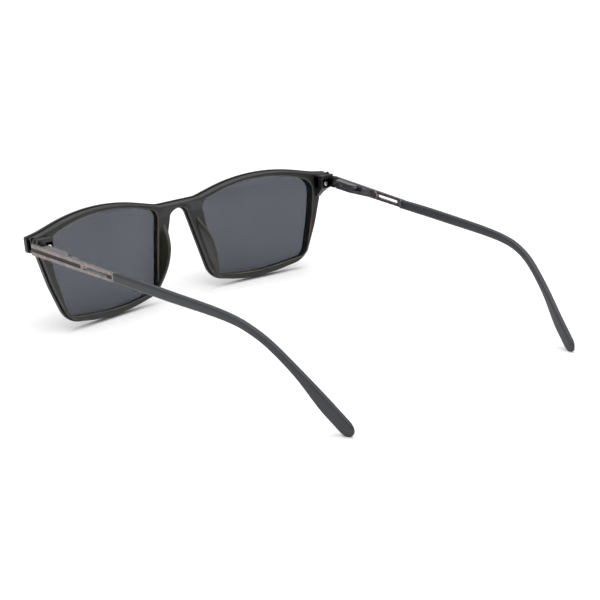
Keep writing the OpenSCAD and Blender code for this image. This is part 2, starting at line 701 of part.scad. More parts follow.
// Faces of a tube with a blind hole down its middle: rings of the outside, then rings of the hole
function sleeve_faces(outer, inner, n) =
    let (m = outer * n)
    concat(
        [for (j = [0:n - 1]) [(j + 1) % n, j, m + j, m + (j + 1) % n]],
        [for (k = [0:outer - 2]) for (j = [0:n - 1])
            [k * n + j, k * n + (j + 1) % n, (k + 1) * n + (j + 1) % n, (k + 1) * n + j]],
        [[for (j = [0:n - 1]) (outer - 1) * n + j]],
        [for (k = [0:inner - 2]) for (j = [0:n - 1])
            [m + (k + 1) * n + j, m + (k + 1) * n + (j + 1) % n, m + k * n + (j + 1) % n, m + k * n + j]],
        [[for (j = [n - 1:-1:0]) m + (inner - 1) * n + j]]
    );
arm_stations = concat([for (k = [0:(arm_last - 1) * arm_steps]) k / arm_steps],
    [for (k = [1:8]) arm_last - 1 + (1 - tip_s) + tip_s * sin(90 * k / 8)]);
core_stations = [for (k = [0:(arm_last - 2) * 3]) k / 3];

module temple_arm(side) {
    outside = [for (s = arm_stations) each outer_ring(s)];
    hole = [for (s = concat(core_stations, [core_stations[len(core_stations) - 1] + core_end_gap]))
        each core_ring(s, core_gap)];
    color("#4b4d53") on_side(side) polyhedron(concat(outside, hole),
        sleeve_faces(len(arm_stations), len(core_stations) + 1, arm_sides), convexity = 8);
}
module arm_core(side) {
    lead = ferrule_l * [sin(temple_yaw), -cos(temple_yaw), 0];
    front_ring = [for (p = core_ring(0, 0)) p + lead];
    points = concat(front_ring, [for (s = core_stations) each core_ring(s, 0)]);
    color("#a8a9ab") on_side(side) polyhedron(points, tube_faces(len(core_stations) + 1, arm_sides),
        convexity = 8);
}
module arm_ferrule(side) {
    color("#c9c6c2") on_temple(side) difference() {
        translate([-arm_t, bar_l, bar_mid_at(bar_l) - bar_rear_h / 2])
            cube([arm_t, ferrule_l - core_gap, bar_rear_h]);
        translate([-arm_t / 2 - core_t / 2 - core_gap, bar_l - 1, bar_mid_at(bar_l) - core_w / 2 - core_gap])
            cube([core_t + 2 * core_gap, 3, core_w + 2 * core_gap]);
    }
}

front_frame();
lens(left);  // lens_left
lens(right);  // lens_right
frame_magnets();
hinge_leaf(left);  // hinge_leaf_left
hinge_leaf(right);  // hinge_leaf_right
leaf_screw(left);  // leaf_screw_left
leaf_screw(right);  // leaf_screw_right
hinge_screw(left);  // hinge_screw_left
hinge_screw(right);  // hinge_screw_right
clip_frame();
clip_lens(left);  // clip_lens_left
clip_lens(right);  // clip_lens_right
clip_magnets();
temple_bar(left);  // temple_bar_left
temple_bar(right);  // temple_bar_right
bar_inlay(left);  // bar_inlay_left
bar_inlay(right);  // bar_inlay_right
spring_housing(left);  // spring_housing_left
spring_housing(right);  // spring_housing_right
hinge_slider(left);  // hinge_slider_left
hinge_slider(right);  // hinge_slider_right
spring_bush(left);  // spring_bush_left
spring_bush(right);  // spring_bush_right
hinge_spring(left);  // hinge_spring_left
hinge_spring(right);  // hinge_spring_right
housing_screw(left);  // housing_screw_left
housing_screw(right);  // housing_screw_right
arm_ferrule(left);  // arm_ferrule_left
arm_ferrule(right);  // arm_ferrule_right
arm_core(left);  // arm_core_left
arm_core(right);  // arm_core_right
temple_arm(left);  // temple_arm_left
temple_arm(right);  // temple_arm_right
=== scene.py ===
"""Spectacles with a magnetic clip of sun lenses, standing on a pale studio floor.

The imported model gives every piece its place. The front, the clip and the nose pads are modelled
again here with rounded edges, and the metal and plastic of the temples get softened edges.
Sizes are in millimetres until they are placed, and in metres after that.
"""

from __future__ import annotations

import json
import logging
import math
from dataclasses import dataclass, field
from enum import Enum, IntEnum
from typing import Sequence

import bmesh
import bpy
from mathutils import Matrix, Vector


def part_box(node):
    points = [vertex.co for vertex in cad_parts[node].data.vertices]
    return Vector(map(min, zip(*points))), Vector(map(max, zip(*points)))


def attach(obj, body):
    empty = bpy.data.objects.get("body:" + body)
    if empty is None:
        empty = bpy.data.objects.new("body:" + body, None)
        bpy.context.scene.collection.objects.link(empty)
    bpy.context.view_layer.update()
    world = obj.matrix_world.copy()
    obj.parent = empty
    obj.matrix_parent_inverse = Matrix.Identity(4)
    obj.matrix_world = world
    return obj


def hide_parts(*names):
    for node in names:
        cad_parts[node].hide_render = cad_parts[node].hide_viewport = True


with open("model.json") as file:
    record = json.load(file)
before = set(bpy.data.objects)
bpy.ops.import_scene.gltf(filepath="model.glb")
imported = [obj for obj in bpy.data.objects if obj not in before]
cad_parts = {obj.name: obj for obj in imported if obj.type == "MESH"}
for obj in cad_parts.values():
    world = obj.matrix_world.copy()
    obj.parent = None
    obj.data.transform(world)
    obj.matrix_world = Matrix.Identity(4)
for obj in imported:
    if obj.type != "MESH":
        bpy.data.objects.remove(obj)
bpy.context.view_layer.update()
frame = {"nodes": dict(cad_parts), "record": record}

MM = 0.001
log = logging.getLogger("spectacles")


class Side(Enum):
    """The wearer's left or right, with the sign of x on that side."""

    LEFT = 1
    RIGHT = -1

    @property
    def word(self) -> str:
        """The side's name as it ends a node's name."""
        return self.name.lower()


# ---- outlines --------------------------------------------------------------------------


@dataclass(frozen=True)
class Corner:
    """A corner of an outline, across and up the front in mm, rounded by its radius."""

    across: float
    up: float
    radius: float = 0.0

    @property
    def point(self) -> Vector:
        """The corner before it is rounded."""
        return Vector((self.across, self.up))


class Outline:
    """A closed clockwise outline whose offsets all have the same number of points."""

    # Longest step along a straight stretch and along an arc, in mm
    edge_spacing = 2.5
    arc_spacing = 1.6
    # Steps of the arc that is measured first, and the limits of the steps that it then gets
    trial_steps = 12
    fewest_steps = 8
    most_steps = 24

    def __init__(self, corners: Sequence[Corner]) -> None:
        """Counts the points that each corner and each straight stretch gets.

        Args:
            corners: the corners, clockwise with across to the right and up upwards.
        """
        self.corners = list(corners)
        arcs = [self._arc(self.corners, i, self.trial_steps) for i in range(len(self.corners))]
        self.arc_steps = [self._steps_for(i, arc) for i, arc in enumerate(arcs)]
        self.edge_steps = [
            max(1, math.ceil((after[0] - arc[-1]).length / self.edge_spacing))
            for arc, after in zip(arcs, arcs[1:] + arcs[:1])
        ]

    def _steps_for(self, index: int, arc: list[Vector]) -> int:
        """How many steps the arc of one corner takes.

        Args:
            index: which corner.
            arc: points along its arc.

        Returns:
            The number of steps, 0 for a sharp corner.
        """
        if self.corners[index].radius == 0:
            return 0
        length = sum((b - a).length for a, b in zip(arc, arc[1:]))
        return max(self.fewest_steps, min(self.most_steps, math.ceil(length / self.arc_spacing)))

    @staticmethod
    def _arc(corners: list[Corner], index: int, steps: int) -> list[Vector]:
        """The points of one rounded corner.

        Args:
            corners: the corners of the outline.
            index: which of them.
            steps: how many steps its arc takes.

        Returns:
            The points in order, or only the corner where it is sharp.
        """
        here = corners[index]
        if here.radius == 0 or steps == 0:
            return [here.point]
        before = (corners[index - 1].point - here.point).normalized()
        after = (corners[(index + 1) % len(corners)].point - here.point).normalized()
        half = before.angle(after) / 2
        middle = here.point + (before + after).normalized() * here.radius / math.sin(half)
        reach = here.radius / math.tan(half)
        first = here.point + before * reach - middle
        last = here.point + after * reach - middle
        start = math.atan2(first.y, first.x)
        turn = math.atan2(last.y, last.x) - start
        turn = (turn + math.pi) % (2 * math.pi) - math.pi
        angles = [start + turn * k / steps for k in range(steps + 1)]
        return [middle + here.radius * Vector((math.cos(a), math.sin(a))) for a in angles]

    def _moved_corners(self, distance: float) -> list[Corner]:
        """The corners of the parallel outline.

        Args:
            distance: how far outside the outline it lies, in mm.

        Returns:
            As many corners, with their radii changed to match.
        """
        moved = []
        for index, here in enumerate(self.corners):
            before = self.corners[index - 1].point
            after = self.corners[(index + 1) % len(self.corners)].point
            along_in = (here.point - before).normalized()
            along_out = (after - here.point).normalized()
            out_in = Vector((-along_in.y, along_in.x))
            out_out = Vector((-along_out.y, along_out.x))
            point = here.point + distance * (out_in + out_out) / (1 + out_in.dot(out_out))
            bend = out_in.x * out_out.y - out_in.y * out_out.x
            radius = here.radius and here.radius + (distance if bend < 0 else -distance)
            moved.append(Corner(point.x, point.y, radius))
        return moved

    def grown(self, distance: float) -> Outline:
        """A new outline that lies a distance in mm outside this one."""
        return Outline(self._moved_corners(distance))

    def points(self, distance: float = 0.0) -> list[Vector]:
        """The points of the parallel outline.

        Args:
            distance: how far outside the outline it lies, in mm.

        Returns:
            The points in order, the same number at every distance.
        """
        corners = self._moved_corners(distance)
        arcs = [self._arc(corners, i, self.arc_steps[i]) for i in range(len(corners))]
        loop = []
        for arc, after, steps in zip(arcs, arcs[1:] + arcs[:1], self.edge_steps):
            loop += arc
            loop += [arc[-1].lerp(after[0], k / steps) for k in range(1, steps)]
        return loop

    def mirrored(self) -> Outline:
        """The same outline on the other side of the face."""
        return Outline([Corner(-c.across, c.up, c.radius) for c in reversed(self.corners)])


def whole_outline(half: Sequence[Corner]) -> Outline:
    """Both halves of an outline that is given from its top middle to its bottom middle."""
    other_half = [Corner(-c.across, c.up, c.radius) for c in reversed(half[1:-1])]
    return Outline([*half, *other_half])


# ---- mesh tools ------------------------------------------------------------------------


Ring = list[bmesh.types.BMVert]


class Shell:
    """Builds a closed mesh from rings of points, one after another."""

    def __init__(self) -> None:
        """Starts an empty mesh."""
        self.mesh = bmesh.new()

    def ring(self, points: Sequence[Vector]) -> Ring:
        """Adds a closed ring of edges.

        Args:
            points: where its vertices lie, in order.

        Returns:
            The vertices, in the same order.
        """
        verts = [self.mesh.verts.new(p) for p in points]
        for a, b in zip(verts, verts[1:] + verts[:1]):
            self.mesh.edges.new((a, b))
        return verts

    def ring_edges(self, verts: Ring) -> list[bmesh.types.BMEdge]:
        """The edges of a ring of vertices."""
        return [self.mesh.edges.get((a, b)) for a, b in zip(verts, verts[1:] + verts[:1])]

    def drawn_out(self, verts: Ring, points: Sequence[Vector], material: int = 0) -> Ring:
        """Extrudes a ring to new points.

        Args:
            verts: the ring, in order.
            points: where each vertex of the new ring goes.
            material: the material index of the new faces.

        Returns:
            The new ring, in the same order.
        """
        made = bmesh.ops.extrude_edge_only(self.mesh, edges=self.ring_edges(verts))["geom"]
        fresh = {v for v in made if isinstance(v, bmesh.types.BMVert)}
        for face in made:
            if isinstance(face, bmesh.types.BMFace):
                face.material_index = material
        following = []
        for vert, point in zip(verts, points):
            partner = next(e.other_vert(vert) for e in vert.link_edges if e.other_vert(vert) in fresh)
            partner.co = point
            following.append(partner)
        return following

    def cap(self, rings: Sequence[Ring]) -> None:
        """Fills the flat area between rings, the first outside and the others its holes."""
        edges = [e for ring in rings for e in self.ring_edges(ring)]
        bmesh.ops.triangle_fill(self.mesh, use_beauty=True, edges=edges)

    def loft(self, rings: Sequence[Sequence[Vector]]) -> None:
        """Adds a closed body through rings of points, with an end face on the first and the last.

        Args:
            rings: the points of each ring, the same number in each.
        """
        first = self.ring(rings[0])
        last = first
        for points in rings[1:]:
            last = self.drawn_out(last, points)
        self.mesh.faces.new(first)
        self.mesh.faces.new(last)

    def closed(self) -> bmesh.types.BMesh:
        """The mesh with its faces turned outwards."""
        bmesh.ops.recalc_face_normals(self.mesh, faces=self.mesh.faces[:])
        return self.mesh


def made_piece(
    name: str, mesh: bmesh.types.BMesh, materials: Sequence[bpy.types.Material], sharp: float = 40
) -> bpy.types.Object:
    """Turns a bmesh into a piece of the scene.

    Args:
        name: the piece's name.
        mesh: its shape, in metres and in place. It is freed.
        materials: its materials, in the order of their indexes.
        sharp: the angle in degrees above which an edge is shaded sharp.

    Returns:
        The new object, at the origin.
    """
    data = bpy.data.meshes.new(name)
    mesh.to_mesh(data)
    mesh.free()
    data.polygons.foreach_set("use_smooth", [True] * len(data.polygons))
    data.set_sharp_from_angle(angle=math.radians(sharp))
    for material in materials:
        data.materials.append(material)
    piece = bpy.data.objects.new(name, data)
    bpy.context.scene.collection.objects.link(piece)
    weighted = piece.modifiers.new("even shading", "WEIGHTED_NORMAL")
    weighted.keep_sharp = True
    return piece


@dataclass(frozen=True)
class Softening:
    """How a hard shape gets soft edges: the bevel, and the angle below which faces are joined."""

    width_mm: float = 0.12
    segments: int = 2
    hard_deg: float = 30.0
    flat_deg: float = 1.0

    def bevel(self, mesh: bmesh.types.BMesh, clamped: bool = True) -> None:
        """Bevels the hard edges of a mesh.

        Args:
            mesh: the mesh, in metres.
            clamped: whether the bevel narrows where it has no room.
        """
        limit = math.radians(self.hard_deg)
        hard = [e for e in mesh.edges if len(e.link_faces) == 2 and e.calc_face_angle(0) > limit]
        bmesh.ops.bevel(
            mesh,
            geom=hard,
            offset=self.width_mm * MM,
            offset_type="OFFSET",
            segments=self.segments,
            profile=0.5,
            affect="EDGES",
            material=-1,
            clamp_overlap=clamped,
        )


def softened_copy(node: str, softening: Softening | None, merge_mm: float = 0.002) -> bmesh.types.BMesh:
    """A copy of a CAD node with its triangles joined and its edges bevelled.

    Args:
        node: the CAD node's name.
        softening: the bevel, or None to join the triangles only.
        merge_mm: how near two corners are that become one.

    Returns:
        The copy, in metres and in place.
    """
    mesh = bmesh.new()
    mesh.from_mesh(frame["nodes"][node].data)
    bmesh.ops.remove_doubles(mesh, verts=mesh.verts[:], dist=merge_mm * MM)
    if softening is None:
        return mesh
    flat = math.radians(softening.flat_deg)
    bmesh.ops.dissolve_limit(mesh, angle_limit=flat, verts=mesh.verts[:], edges=mesh.edges[:])
    softening.bevel(mesh)
    return mesh


# ---- finishes --------------------------------------------------------------------------

# The stretch of a noise's values over which a look runs from one end to the other
WIDE_BAND = (0.3, 0.7)
NARROW_BAND = (0.35, 0.65)


def linear(code: str) -> tuple[float, float, float, float]:
    """An sRGB hex colour such as #3a3c3d as linear RGBA."""
    channels = [int(code[i : i + 2], 16) / 255 for i in (1, 3, 5)]
    return (*[c / 12.92 if c <= 0.04045 else ((c + 0.055) / 1.055) ** 2.4 for c in channels], 1.0)


def add_node(
    tree: bpy.types.NodeTree,
    kind: str,
    inputs: dict[str | int, object] | None = None,
    links: dict[str | int, bpy.types.NodeSocket] | None = None,
    **settings: object,
) -> bpy.types.Node:
    """Adds a shader node.

    Args:
        tree: the material's node tree.
        kind: the node's type.
        inputs: values for its sockets.
        links: sockets that feed its sockets.
        settings: its own properties.

    Returns:
        The new node.
    """
    node = tree.nodes.new(kind)
    for key, value in settings.items():
        setattr(node, key, value)
    for key, value in (inputs or {}).items():
        node.inputs[key].default_value = value
    for key, source in (links or {}).items():
        tree.links.new(source, node.inputs[key])
    return node


def blank_material(name: str) -> tuple[bpy.types.Material, bpy.types.NodeTree, bpy.types.Node]:
    """Starts a material.

    Args:
        name: its name.

    Returns:
        The material, its node tree, and the output node, which is all that the tree holds.
    """
    material = bpy.data.materials.new(name)
    material.use_nodes = True
    material.node_tree.nodes.clear()
    return material, material.node_tree, material.node_tree.nodes.new("ShaderNodeOutputMaterial")


def two_colours(
    tree: bpy.types.NodeTree,
    pattern: bpy.types.NodeSocket,
    low: str,
    high: str,
    band: tuple[float, float],
) -> bpy.types.NodeSocket:
    """A colour that a pattern takes from one shade to another.

    Args:
        tree: the material's node tree.
        pattern: the value that decides.
        low: the shade below the band, as sRGB hex.
        high: the shade above the band, as sRGB hex.
        band: where in the pattern's values the one shade ends and the other begins.

    Returns:
        The colour's socket.
    """
    ramp = add_node(tree, "ShaderNodeValToRGB", links={"Fac": pattern})
    for element, position, shade in zip(ramp.color_ramp.elements, band, (low, high)):
        element.position = position
        element.color = linear(shade)
    return ramp.outputs["Color"]


@dataclass(frozen=True)
class Finish:
    """An opaque finish whose tone and gloss drift with a pattern, over a fine relief."""

    name: str
    dark: str
    light: str
    roughness: float
    spread: float = 0.06
    relief_mm: float = 0.012
    relief_strength: float = 0.5
    tone_band: tuple[float, float] = WIDE_BAND
    gloss_band: tuple[float, float] = NARROW_BAND

    def _shaded(
        self,
        tree: bpy.types.NodeTree,
        pattern: bpy.types.NodeSocket,
        relief: bpy.types.NodeSocket,
        inputs: dict[str, float],
    ) -> bpy.types.NodeSocket:
        """Adds the shader with its tone, gloss and relief.

        Args:
            tree: the material's node tree.
            pattern: the value that tone and gloss drift with.
            relief: the height of the fine relief.
            inputs: values for the shader's other sockets.

        Returns:
            The shader's socket.
        """
        gloss = add_node(
            tree,
            "ShaderNodeMapRange",
            {
                "From Min": self.gloss_band[0],
                "From Max": self.gloss_band[1],
                "To Min": self.roughness - self.spread,
                "To Max": self.roughness + self.spread,
            },
            {"Value": pattern},
        )
        bump = add_node(
            tree,
            "ShaderNodeBump",
            {"Strength": self.relief_strength, "Distance": self.relief_mm * MM},
            {"Height": relief},
        )
        shader = add_node(
            tree,
            "ShaderNodeBsdfPrincipled",
            inputs,
            {
                "Base Color": two_colours(tree, pattern, self.dark, self.light, self.tone_band),
                "Roughness": gloss.outputs["Result"],
                "Normal": bump.outputs["Normal"],
            },
        )
        return shader.outputs["BSDF"]


@dataclass(frozen=True)
class MouldedPlastic(Finish):
    """Injection-moulded plastic: a fine spark-eroded grain with slow changes of gloss.

    The real grain is finer than 0.1 mm. It is drawn coarser, so that it shows.
    """

    index: float = 1.5
    cloud_mm: float = 9.0
    grain_mm: float = 0.35

    def material(self) -> bpy.types.Material:
        """Builds the material.

        Returns:
            The material, whose pattern is fixed to the object's own place.
        """
        material, tree, output = blank_material(self.name)
        place = add_node(tree, "ShaderNodeTexCoord").outputs["Object"]
        grain, cloud = (
            add_node(
                tree,
                "ShaderNodeTexNoise",
                {"Scale": 1 / (size * MM), "Detail": detail},
                {"Vector": place},
            ).outputs["Fac"]
            for size, detail in ((self.grain_mm, 3.0), (self.cloud_mm, 2.0))
        )
        shaded = self._shaded(tree, cloud, grain, {"IOR": self.index})
        tree.links.new(shaded, output.inputs["Surface"])
        return material


@dataclass(frozen=True)
class BrushedMetal(Finish):
    """Metal brushed in one direction: long fine lines of slightly different tone and gloss.

    The real lines are finer than 0.1 mm. They are drawn wider, so that they show.
    """

    spread: float = 0.08
    relief_mm: float = 0.01
    relief_strength: float = 0.4
    tone_band: tuple[float, float] = NARROW_BAND
    gloss_band: tuple[float, float] = WIDE_BAND
    line_mm: float = 0.5
    length_mm: float = 7.0
    slope_deg: float = 0.0

    def material(self) -> bpy.types.Material:
        """Builds the material.

        Returns:
            The material, whose lines run along y, turned up by the slope.
        """
        material, tree, output = blank_material(self.name)
        place = add_node(tree, "ShaderNodeTexCoord").outputs["Object"]
        turn = add_node(
            tree,
            "ShaderNodeMapping",
            {"Rotation": (math.radians(self.slope_deg), 0.0, 0.0)},
            {"Vector": place},
        )
        across, along = 1 / (self.line_mm * MM), 1 / (self.length_mm * MM)
        stretch = add_node(
            tree,
            "ShaderNodeMapping",
            {"Scale": (across, along, across)},
            {"Vector": turn.outputs["Vector"]},
        )
        lines = add_node(
            tree,
            "ShaderNodeTexNoise",
            {"Scale": 1.0, "Detail": 3.0},
            {"Vector": stretch.outputs["Vector"]},
        ).outputs["Fac"]
        shaded = self._shaded(tree, lines, lines, {"Metallic": 1.0})
        tree.links.new(shaded, output.inputs["Surface"])
        return material


@dataclass(frozen=True)
class LensPlastic:
    """Polished optical plastic that light goes through and is tinted by.

    A low index stands for a coating that takes most reflections away.
    """

    name: str
    colour: str
    deeper: str
    index: float
    roughness: float = 0.0
    drift_mm: float = 30.0

    def material(self) -> bpy.types.Material:
        """Builds the material.

        Returns:
            The material, whose tint drifts a little over the lens.
        """
        material, tree, output = blank_material(self.name)
        place = add_node(tree, "ShaderNodeTexCoord").outputs["Object"]
        drift = add_node(
            tree,
            "ShaderNodeTexNoise",
            {"Scale": 1 / (self.drift_mm * MM), "Detail": 1.0},
            {"Vector": place},
        )
        tint = two_colours(tree, drift.outputs["Fac"], self.colour, self.deeper, NARROW_BAND)
        shader = add_node(
            tree,
            "ShaderNodeBsdfPrincipled",
            {"IOR": self.index, "Roughness": self.roughness, "Transmission Weight": 1.0},
            {"Base Color": tint},
        )
        tree.links.new(shader.outputs["BSDF"], output.inputs["Surface"])
        return material


class Paints:
    """Every finish of the spectacles, built once."""

    def __init__(self) -> None:
        """Builds the materials."""
        # Moulded nylon, satin from the tool: nearly black, soft highlights along its edges
        self.frame = MouldedPlastic("moulded_nylon", "#0e0f0f", "#151616", 0.4).material()
        # The same nylon where it is thin, with painted light: the olive brown of light shining through
        # it is painted as the colour of an opaque surface
        self.thin_nylon = MouldedPlastic(
            "thin_nylon", "#34322a", "#5c583f", 0.38, grain_mm=1.2
        ).material()
        # The same nylon in the pads, half clear: dark, with olive brown in its depth
        self.pad = MouldedPlastic("clear_nylon", "#171713", "#28271d", 0.36, grain_mm=2.0).material()
        # Matte nylon of the clip, a little bluer and duller than the frame
        self.clip = MouldedPlastic("matte_nylon", "#101112", "#17181a", 0.45).material()
        # Rubberised acetate of the arms: slate grey, satin
        self.arm = MouldedPlastic("satin_acetate", "#24262b", "#2b2d33", 0.45, grain_mm=0.5).material()
        # Charcoal filler in the groove of the bar: dull
        self.inlay = MouldedPlastic("charcoal_filler", "#1b1b1a", "#262524", 0.6).material()
        # Polarised grey sheet: flat blue grey, clean reflections
        self.sun_lens = LensPlastic("polarised_lens", "#505359", "#53565d", 1.2).material()
        # Clear optical plastic: only its reflections and edge show
        self.clear_lens = LensPlastic("clear_lens", "#fafbfb", "#fcfdfd", 1.06).material()
        # Gunmetal-plated steel, brushed on the slant: warm grey with fine lines
        self.gunmetal = BrushedMetal(
            "brushed_gunmetal", "#6f6866", "#9a908e", 0.36, slope_deg=35
        ).material()
        # Black-coated steel of the hinge: dull dark sheen
        self.black_metal = BrushedMetal("black_coated_steel", "#2a2a2c", "#3a3a3c", 0.45).material()
        # Satin-plated steel of the housings, side screws and ferrules: mid grey, even
        self.satin_metal = BrushedMetal(
            "satin_plate", "#7b7b80", "#8f8e92", 0.36, line_mm=0.3, length_mm=3
        ).material()
        # Nickel plate of the leaf screws and the magnets: bright, slightly warm
        self.nickel = BrushedMetal(
            "nickel_plate", "#d6d1c6", "#efeae0", 0.32, line_mm=0.3, length_mm=1.5
        ).material()
        # Plain steel inside: grey and clean
        self.steel = BrushedMetal(
            "bright_steel", "#a8a9ab", "#c4c6c8", 0.3, line_mm=0.3, length_mm=2
        ).material()


# ---- the front -------------------------------------------------------------------------


@dataclass(frozen=True)
class Lean:
    """How the front stands: it leans forwards and wraps round the face."""

    angle: float = math.radians(6.85)
    seat_radius: float = 326.0
    face_radius: float = 360.0
    # So wide a wrap that it is flat
    flat_radius: float = 326000.0

    def placed(self, across: float, depth: float, up: float, radius: float) -> Vector:
        """A point of the front, in metres, before the front is set in its place.

        Args:
            across: distance from the middle, in mm.
            depth: distance behind the middle of the face, in mm.
            up: distance up the front, in mm.
            radius: radius of the wrap that the depth is measured from.

        Returns:
            The point, in the object's own frame but for one shift of the whole front.
        """
        back = depth + radius - math.sqrt(radius * radius - across * across)
        cos, sin = math.cos(self.angle), math.sin(self.angle)
        return Vector((across, back * cos - up * sin, back * sin + up * cos)) * MM


LEAN = Lean()

# The clip's outline on the wearer's left, from its top middle to its bottom middle
FRONT_HALF = [
    Corner(0, 15.1), Corner(9, 15.1, 12), Corner(37.3, 22.1, 84), Corner(64.5, 15.6, 40),
    Corner(69.9, 14.9, 0.8), Corner(69.9, 9.4, 1.2), Corner(66.2, 8.4, 1.4),
    Corner(62.3, -4.5, 60), Corner(56.3, -18.6, 10), Corner(33.5, -22.2, 63), Corner(12.5, -17.6, 9),
    Corner(3.4, 11.9, 3.4), Corner(0, 11.9),
]
# The frame's opening for the left lens
EYE = [
    Corner(10.2, 12.9, 3.5), Corner(36.1, 20.0, 69), Corner(62.3, 12.7, 5.5), Corner(60.6, 0, 40),
    Corner(56.4, -16.4, 4.5), Corner(32.9, -18.8, 80), Corner(14.4, -16.2, 4),
]


class Moulding(IntEnum):
    """The finishes of the front, by their material index; one is painted light that shines through the
    thin rear lip of the openings.
    """

    SOLID = 0
    # Painted light: the olive brown of light shining through the thin rear lip, painted as colour
    THIN = 1
    PAD = 2


@dataclass(frozen=True)
class Station:
    """One ring of a rim's wall: how far it is drawn into the rim, and how deep it lies."""

    inset: float
    depth: float
    # Radius of the wrap that its depth is measured from
    radius: float
    # Its inset along the brow, where that is another
    brow_inset: float | None = None
    moulding: Moulding = Moulding.SOLID


def smooth_step(value: float) -> float:
    """A soft step from 0 to 1."""
    value = min(1.0, max(0.0, value))
    return value * value * (3 - 2 * value)


class Rim:
    """A plate with two eye openings, with rounded edges and a wrapped shape."""

    # Height at which the brow's own inset starts to take over, and how far that takes, in mm
    brow_from = 8.0
    brow_fade = 5.0

    def __init__(
        self,
        outline: Outline,
        eyes: Sequence[Outline],
        outer: Sequence[Station],
        inner: Sequence[Station],
    ) -> None:
        """Keeps the outlines and the section.

        Args:
            outline: the outside.
            eyes: the openings.
            outer: the rings of the outside, from the front face to the rear face.
            inner: the rings of each opening, from the front face to the rear face.
        """
        self.outline = outline
        self.eyes = eyes
        self.outer = outer
        self.inner = inner
        self.wrap: dict[bmesh.types.BMVert, float] = {}
        self.shell = Shell()

    def extra_depth(self, across: float, up: float) -> float:
        """How much deeper than its section the plate is at a point of its outline."""
        return 0.0

    def _points(self, outline: Outline, station: Station, outwards: int) -> list[Vector]:
        """The points of one ring, flat: across, depth and up.

        Args:
            outline: the edge of the plate that the ring belongs to.
            station: where the ring lies.
            outwards: 1 where the rim lies outside the outline, and -1 where it lies inside.

        Returns:
            The points in order, in mm.
        """
        spots = outline.points(outwards * station.inset)
        if station.brow_inset is not None:
            brow = outline.points(outwards * station.brow_inset)
            shares = [smooth_step((spot.y - self.brow_from) / self.brow_fade) for spot in spots]
            spots = [spot.lerp(high, share) for spot, high, share in zip(spots, brow, shares)]
        return [Vector((spot.x, station.depth, spot.y)) for spot in spots]

    def _wall(self, outline: Outline, stations: Sequence[Station], outwards: int) -> tuple[Ring, Ring]:
        """Builds one wall of the plate.

        Args:
            outline: the edge of the plate that the wall belongs to.
            stations: its rings, from the front face to the rear face.
            outwards: 1 where the rim lies outside the outline, and -1 where it lies inside.

        Returns:
            Its first and its last ring.
        """
        rings = [self.shell.ring(self._points(outline, stations[0], outwards))]
        for station in stations[1:]:
            points = self._points(outline, station, outwards)
            rings.append(self.shell.drawn_out(rings[-1], points, station.moulding))
        for ring, station in zip(rings, stations):
            self.wrap.update(dict.fromkeys(ring, station.radius))
        return rings[0], rings[-1]

    def built(self, rear_from: float = math.inf) -> bmesh.types.BMesh:
        """Builds the plate, wraps it and leans it.

        Args:
            rear_from: the depth in mm from which a point gets the extra depth.

        Returns:
            The closed mesh, in metres.
        """
        walls = [self._wall(self.outline, self.outer, -1)]
        walls += [self._wall(eye, self.inner, 1) for eye in self.eyes]
        self.shell.cap([first for first, last in walls])
        self.shell.cap([last for first, last in walls])
        mesh = self.shell.closed()
        for vert in mesh.verts:
            across, depth, up = vert.co
            if depth > rear_from:
                depth += self.extra_depth(across, up)
            vert.co = LEAN.placed(across, depth, up, self.wrap[vert])
        return mesh


class FrameRim(Rim):
    """The frame's rims, which are deeper at the bridge."""

    bridge_extra = 2.1
    bridge_half = 10.0
    # How many half widths from the middle it runs out, and the height from which it comes in
    bridge_reach = 1.25
    bridge_from = 10.0
    bridge_fade = 4.5

    def extra_depth(self, across: float, up: float) -> float:
        """The top of the bridge stands back further than the rims, and fades into them."""
        share = smooth_step(self.bridge_reach - abs(across) / self.bridge_half)
        return self.bridge_extra * share * smooth_step((up - self.bridge_from) / self.bridge_fade)


def set_in_place(mesh: bmesh.types.BMesh, node: str) -> Vector:
    """Moves a mesh so that its top and its front meet those of a CAD node.

    Args:
        mesh: the mesh to move.
        node: the CAD node that it stands for.

    Returns:
        The shift.
    """
    low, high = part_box(node)
    back = low.y - min(v.co.y for v in mesh.verts)
    shift = Vector((0, back, high.z - max(v.co.z for v in mesh.verts)))
    bmesh.ops.translate(mesh, vec=shift, verts=mesh.verts[:])
    return shift


@dataclass(frozen=True)
class NoseEdge:
    """A straight edge of the rim beside the nose, which moves outwards as it goes down."""

    across: float
    up: float
    lean: float

    def at(self, up: float) -> float:
        """How far from the middle the edge is at a height, in mm."""
        return self.across + (self.up - up) * self.lean


